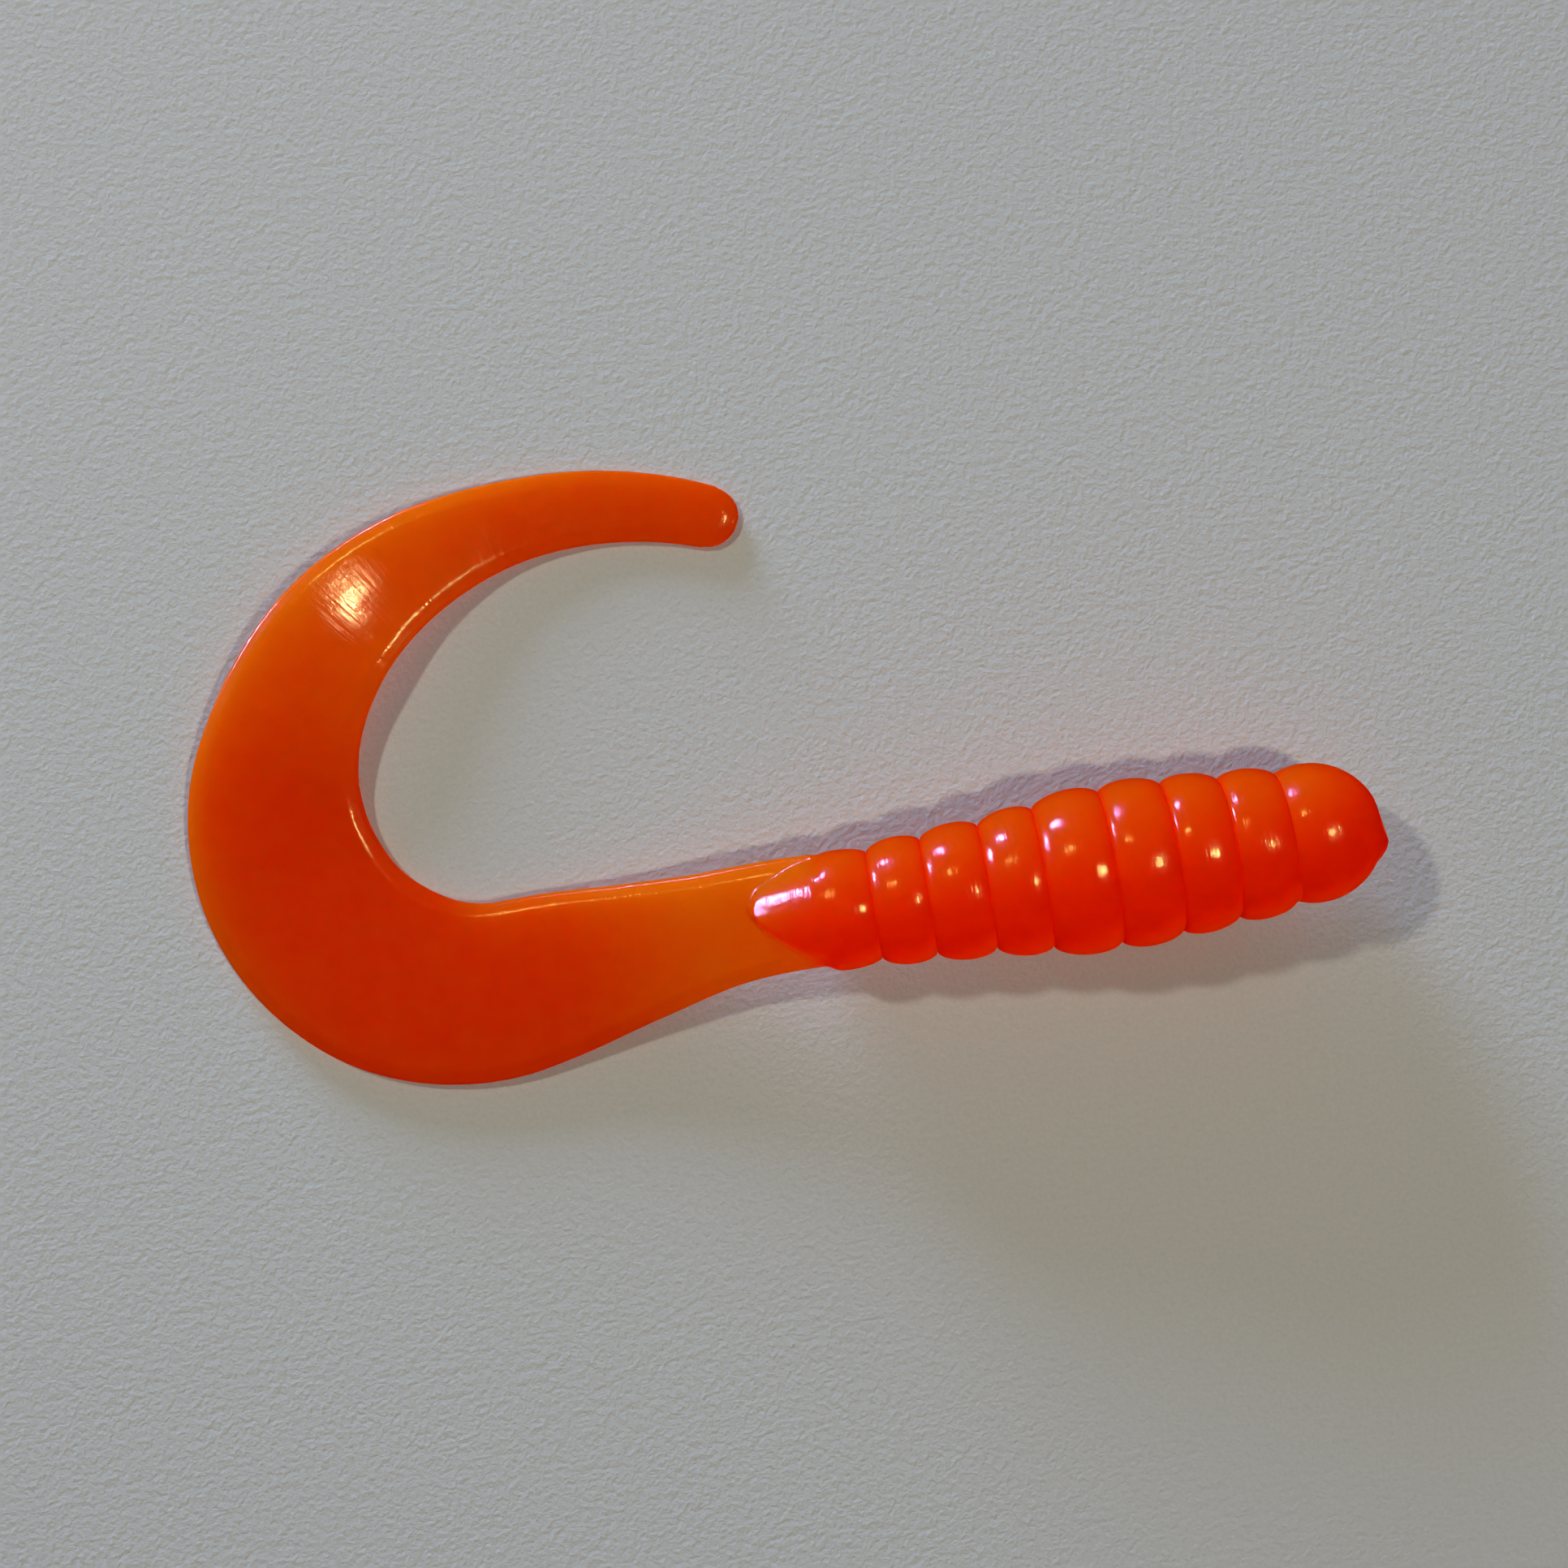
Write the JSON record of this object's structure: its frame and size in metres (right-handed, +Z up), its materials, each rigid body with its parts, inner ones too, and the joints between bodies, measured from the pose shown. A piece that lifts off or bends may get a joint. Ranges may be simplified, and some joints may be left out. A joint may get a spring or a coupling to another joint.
{
  "type": "soft plastic worm",
  "caption": "Ribbed soft plastic fishing grub with a long flat curly tail, flexing at its grooves and along the tail.",
  "frame": {"origin": "on the surface the lure lies on, under the middle of its bounding box", "axes": "+X from the tail towards the nose, +Y across towards the side the tail curls to, +Z up from the surface"},
  "size_m": [0.0978, 0.0498, 0.0137],
  "materials": {
    "plastisol": "glossy translucent fluorescent orange soft PVC plastisol"
  },
  "bodies": {
    "nose": {"nose": "plastisol"},
    "body_ring_1": {"body_ring_1": "plastisol"},
    "body_ring_2": {"body_ring_2": "plastisol"},
    "body_ring_3": {"body_ring_3": "plastisol"},
    "body_ring_4": {"body_ring_4": "plastisol"},
    "body_ring_5": {"body_ring_5": "plastisol"},
    "body_ring_6": {"body_ring_6": "plastisol"},
    "body_ring_7": {"body_ring_7": "plastisol"},
    "body_ring_8": {"body_ring_8": "plastisol"},
    "tail_root": {"tail_root": "plastisol"},
    "tail_section_1": {"tail_section_1": "plastisol"},
    "tail_section_2": {"tail_section_2": "plastisol"},
    "tail_section_3": {"tail_section_3": "plastisol"},
    "tail_section_4": {"tail_section_4": "plastisol"},
    "tail_section_5": {"tail_section_5": "plastisol"},
    "tail_section_6": {"tail_section_6": "plastisol"},
    "tail_section_7": {"tail_section_7": "plastisol"},
    "tail_section_8": {"tail_section_8": "plastisol"},
    "tail_section_9": {"tail_section_9": "plastisol"},
    "tail_tip": {"tail_tip": "plastisol"}
  },
  "joints": [
    {"name": "groove_1_nod", "type": "hinge", "parent": "nose", "child": "body_ring_1", "pos_m": [0.04088, -0.01508, 0.00744], "axis": [-0.0009, 0.9998, 0.0209], "range_deg": [-8, 8], "stiffness_Nm_per_rad": 0.0342},
    {"name": "groove_2_sway", "type": "hinge", "parent": "body_ring_1", "child": "body_ring_2", "pos_m": [0.03624, -0.01508, 0.00723], "axis": [-0.0436, -0.0209, 0.9988], "range_deg": [-8, 8], "stiffness_Nm_per_rad": 0.0441},
    {"name": "groove_3_nod", "type": "hinge", "parent": "body_ring_2", "child": "body_ring_3", "pos_m": [0.03159, -0.01508, 0.00703], "axis": [-0.0009, 0.9998, 0.0209], "range_deg": [-8, 8], "stiffness_Nm_per_rad": 0.0578},
    {"name": "groove_4_sway", "type": "hinge", "parent": "body_ring_3", "child": "body_ring_4", "pos_m": [0.02654, -0.01508, 0.00681], "axis": [-0.0436, -0.0209, 0.9988], "range_deg": [-8, 8], "stiffness_Nm_per_rad": 0.0637},
    {"name": "groove_5_nod", "type": "hinge", "parent": "body_ring_4", "child": "body_ring_5", "pos_m": [0.021, -0.01508, 0.00657], "axis": [-0.0009, 0.9998, 0.0209], "range_deg": [-8, 8], "stiffness_Nm_per_rad": 0.0457},
    {"name": "groove_6_sway", "type": "hinge", "parent": "body_ring_5", "child": "body_ring_6", "pos_m": [0.01645, -0.01508, 0.00637], "axis": [-0.0436, -0.0209, 0.9988], "range_deg": [-8, 8], "stiffness_Nm_per_rad": 0.0294},
    {"name": "groove_7_nod", "type": "hinge", "parent": "body_ring_6", "child": "body_ring_7", "pos_m": [0.01161, -0.01508, 0.00616], "axis": [-0.0009, 0.9998, 0.0209], "range_deg": [-8, 8], "stiffness_Nm_per_rad": 0.0222},
    {"name": "groove_8_sway", "type": "hinge", "parent": "body_ring_7", "child": "body_ring_8", "pos_m": [0.00711, -0.01508, 0.00596], "axis": [-0.0436, -0.0209, 0.9988], "range_deg": [-8, 8], "stiffness_Nm_per_rad": 0.0171},
    {"name": "groove_9_nod", "type": "hinge", "parent": "body_ring_8", "child": "tail_root", "pos_m": [0.00362, -0.01508, 0.00581], "axis": [-0.0009, 0.9998, 0.0209], "range_deg": [-8, 8], "stiffness_Nm_per_rad": 0.0157},
    {"name": "tail_flap_1", "type": "hinge", "parent": "tail_root", "child": "tail_section_1", "pos_m": [-0.00736, -0.01535, 0.00377], "axis": [-0.1219, 0.9925, 0], "range_deg": [-16, 16], "stiffness_Nm_per_rad": 0.0002},
    {"name": "tail_curl_2", "type": "hinge", "parent": "tail_section_1", "child": "tail_section_2", "pos_m": [-0.01728, -0.01657, 0.00178], "axis": [-0.1557, -0.0402, 0.987], "range_deg": [-6, 14], "stiffness_Nm_per_rad": 0.0092},
    {"name": "tail_flap_3", "type": "hinge", "parent": "tail_section_2", "child": "tail_section_3", "pos_m": [-0.02723, -0.01729, 0.00096], "axis": [0.127, 0.9919, 0], "range_deg": [-16, 16], "stiffness_Nm_per_rad": 0.00022},
    {"name": "tail_curl_4", "type": "hinge", "parent": "tail_section_3", "child": "tail_section_4", "pos_m": [-0.03613, -0.01311, 0.00095], "axis": [-0.0143, -0.0153, 0.9998], "range_deg": [-6, 14], "stiffness_Nm_per_rad": 0.017},
    {"name": "tail_flap_5", "type": "hinge", "parent": "tail_section_4", "child": "tail_section_5", "pos_m": [-0.04092, -0.00451, 0.00102], "axis": [0.9809, 0.1947, 0.0035], "range_deg": [-16, 16], "stiffness_Nm_per_rad": 0.00022},
    {"name": "tail_curl_6", "type": "hinge", "parent": "tail_section_5", "child": "tail_section_6", "pos_m": [-0.0398, 0.00527, 0.00192], "axis": [-0.112, -0.1108, 0.9875], "range_deg": [-6, 14], "stiffness_Nm_per_rad": 0.009},
    {"name": "tail_flap_7", "type": "hinge", "parent": "tail_section_6", "child": "tail_section_7", "pos_m": [-0.03429, 0.01354, 0.00288], "axis": [0.7074, -0.7035, 0.0693], "range_deg": [-16, 16], "stiffness_Nm_per_rad": 0.0002},
    {"name": "tail_curl_8", "type": "hinge", "parent": "tail_section_7", "child": "tail_section_8", "pos_m": [-0.02608, 0.01913, 0.0021], "axis": [0.08, 0.0905, 0.9927], "range_deg": [-6, 14], "stiffness_Nm_per_rad": 0.0023},
    {"name": "tail_flap_9", "type": "hinge", "parent": "tail_section_8", "child": "tail_section_9", "pos_m": [-0.0164, 0.0215, 0.00104], "axis": [0.0855, -0.9963, 0], "range_deg": [-16, 16], "stiffness_Nm_per_rad": 0.0002},
    {"name": "tail_curl_10", "type": "hinge", "parent": "tail_section_9", "child": "tail_tip", "pos_m": [-0.00647, 0.02082, 0.00065], "axis": [0.0046, 0.0204, 0.9998], "range_deg": [-6, 14], "stiffness_Nm_per_rad": 0.00053}
  ]
}
